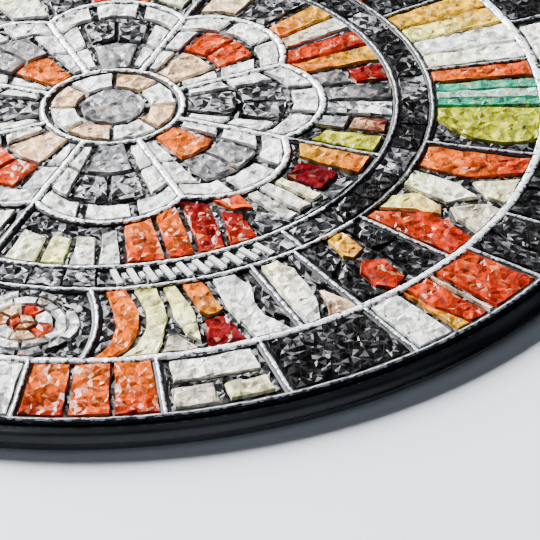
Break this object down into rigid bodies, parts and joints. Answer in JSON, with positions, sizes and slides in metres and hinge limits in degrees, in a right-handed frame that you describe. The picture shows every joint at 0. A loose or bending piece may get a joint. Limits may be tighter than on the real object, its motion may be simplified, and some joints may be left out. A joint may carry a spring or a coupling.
{
  "type": "stained glass suncatcher",
  "caption": "Round leaded stained glass disc in a black metal rim with a hanging eye: rings of coloured panes, a dark band and a petalled rosette.",
  "frame": {"origin": "centre of the disc, on the plane that the rim's underside rests on", "axes": "+Z out of the glass face along the disc's axis, +Y towards the hanging eye"},
  "size_m": [0.2, 0.2125, 0.0042],
  "materials": {
    "glass_orange": "opaque crackled glass, glossy",
    "glass_red": "opaque crackled glass, glossy",
    "glass_yellow": "opaque crackled glass, glossy",
    "glass_green": "opaque crackled glass, glossy",
    "glass_cream": "opaque crackled glass, glossy",
    "glass_white": "opaque crackled glass, glossy",
    "glass_black": "opaque crackled glass, glossy",
    "came": "bright tinned came, black patina at its edges",
    "rim": "satin black"
  },
  "bodies": {
    "root": {"outer_pane_01": "glass_orange", "outer_pane_02": "glass_cream", "outer_pane_03": "glass_black", "outer_pane_04": "glass_red", "outer_pane_05": "glass_black", "outer_pane_06": "glass_white", "outer_pane_07": "glass_orange", "outer_pane_08": "glass_cream", "outer_pane_09": "glass_black", "outer_pane_10": "glass_red", "outer_pane_11": "glass_black", "outer_pane_12": "glass_white", "outer_pane_13": "glass_orange", "outer_pane_14": "glass_cream", "outer_pane_15": "glass_black", "outer_pane_16": "glass_red", "outer_pane_17": "glass_black", "outer_pane_18": "glass_white", "outer_pane_19": "glass_orange", "outer_pane_20": "glass_cream", "outer_pane_21": "glass_black", "outer_pane_22": "glass_red", "outer_pane_23": "glass_black", "outer_pane_24": "glass_white", "middle_pane_01": "glass_black", "middle_pane_02": "glass_orange", "middle_pane_03": "glass_white", "middle_pane_04": "glass_black", "middle_pane_05": "glass_red", "middle_pane_06": "glass_green", "middle_pane_07": "glass_yellow", "middle_pane_08": "glass_black", "middle_pane_09": "glass_black", "middle_pane_10": "glass_orange", "middle_pane_11": "glass_white", "middle_pane_12": "glass_black", "middle_pane_13": "glass_red", "middle_pane_14": "glass_green", "middle_pane_15": "glass_yellow", "middle_pane_16": "glass_black", "band_pane_01": "glass_black", "band_pane_02": "glass_black", "band_pane_03": "glass_black", "band_pane_04": "glass_black", "petal_1": "glass_white", "petal_2": "glass_orange", "petal_3": "glass_white", "petal_4": "glass_orange", "petal_5": "glass_white", "petal_6": "glass_orange", "petal_7": "glass_white", "petal_8": "glass_orange", "border_pane_1": "glass_cream", "border_pane_2": "glass_red", "border_pane_3": "glass_orange", "border_pane_4": "glass_yellow", "centre_pane": "glass_red", "came_lattice": "came", "rim": "rim", "hanging_eye": "rim"}
  },
  "joints": []
}
